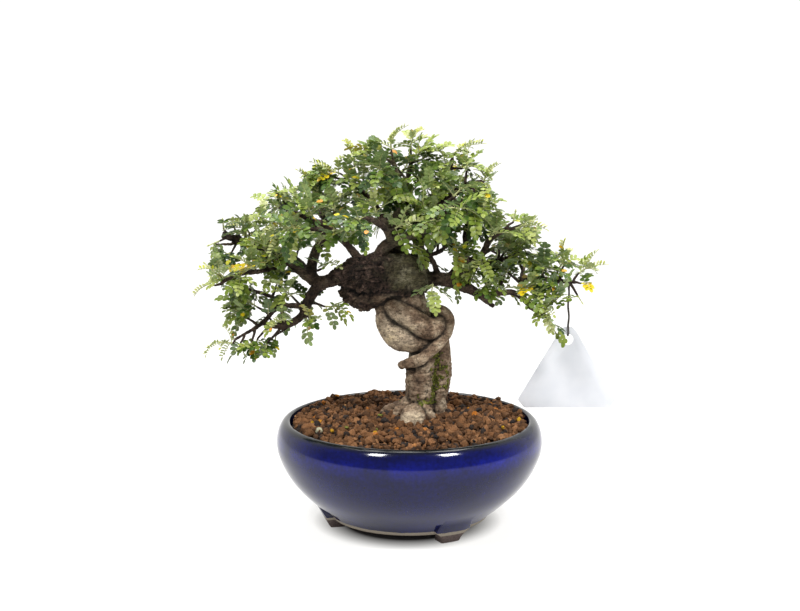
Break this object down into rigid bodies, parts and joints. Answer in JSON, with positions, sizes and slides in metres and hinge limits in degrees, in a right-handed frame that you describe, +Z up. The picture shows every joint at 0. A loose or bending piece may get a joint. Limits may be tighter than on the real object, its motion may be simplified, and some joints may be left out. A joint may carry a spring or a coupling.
{
  "type": "hawaiian hawthorn bonsai",
  "caption": "Knotted, broad-crowned dwarf tree with small pinnate leaves, rooted in coarse grit in a round footed glazed pot, with a blank swing tag on a wire.",
  "frame": {"origin": "middle of the footprint of the whole model, on the surface that the pot stands on", "axes": "+Z up along the trunk; +X to the side where the swing tag hangs; -Y to the viewer, with the three-strand knot in front"},
  "size_m": [0.3286, 0.21, 0.3155],
  "materials": {
    "glazed_pot": "high-gloss cobalt glaze, bare clay at the foot",
    "screen_plastic": "matt moulded mesh",
    "lava_grit": "dry crushed granules",
    "bark": "weathered bark, pale below and dark above",
    "leaves": "waxy leaf, satin",
    "coated_wire": "plastic-coated wire",
    "tag_card": "smooth white sheet"
  },
  "bodies": {
    "root": {"drainage_screen": "screen_plastic", "pot": "glazed_pot", "shoot_arch_drop": "leaves", "shoot_arch_end": "leaves", "shoot_arm_end": "leaves", "shoot_arm_near": "leaves", "shoot_back_left_end": "leaves", "shoot_back_mid_end": "leaves", "shoot_back_right_end": "leaves", "shoot_crest_front": "leaves", "shoot_crest_left": "leaves", "shoot_crest_peak": "leaves", "shoot_cross_end": "leaves", "shoot_fan_end": "leaves", "shoot_fan_under": "leaves", "shoot_far_end": "leaves", "shoot_far_left": "leaves", "shoot_front_left_end": "leaves", "shoot_front_mid_end": "leaves", "shoot_front_right_end": "leaves", "shoot_left_crest": "leaves", "shoot_left_flag": "leaves", "shoot_left_inner": "leaves", "shoot_left_plume": "leaves", "shoot_limb_end": "leaves", "shoot_low_drop": "leaves", "shoot_low_inner": "leaves", "shoot_low_left_end": "leaves", "shoot_low_left_near": "leaves", "shoot_low_right_end": "leaves", "shoot_main_near": "leaves", "shoot_main_near_left": "leaves", "shoot_mid_end": "leaves", "shoot_mid_front": "leaves", "shoot_mid_left_near": "leaves", "shoot_mid_near": "leaves", "shoot_mid_peak": "leaves", "shoot_out_near": "leaves", "shoot_post_near": "leaves", "shoot_reach_end": "leaves", "shoot_reach_under": "leaves", "shoot_ridge_front": "leaves", "shoot_riser_flank": "leaves", "shoot_riser_leap": "leaves", "shoot_riser_side": "leaves", "shoot_tip_right": "leaves", "shoot_tip_top": "leaves", "shoot_top_peak": "leaves", "shoot_top_right": "leaves", "shoot_trunk_spray": "leaves", "shoot_up_end": "leaves", "shoot_up_near": "leaves", "soil": "lava_grit", "swing_tag": "tag_card", "tag_wire": "coated_wire", "trunk_and_boughs": "bark"}
  },
  "joints": []
}
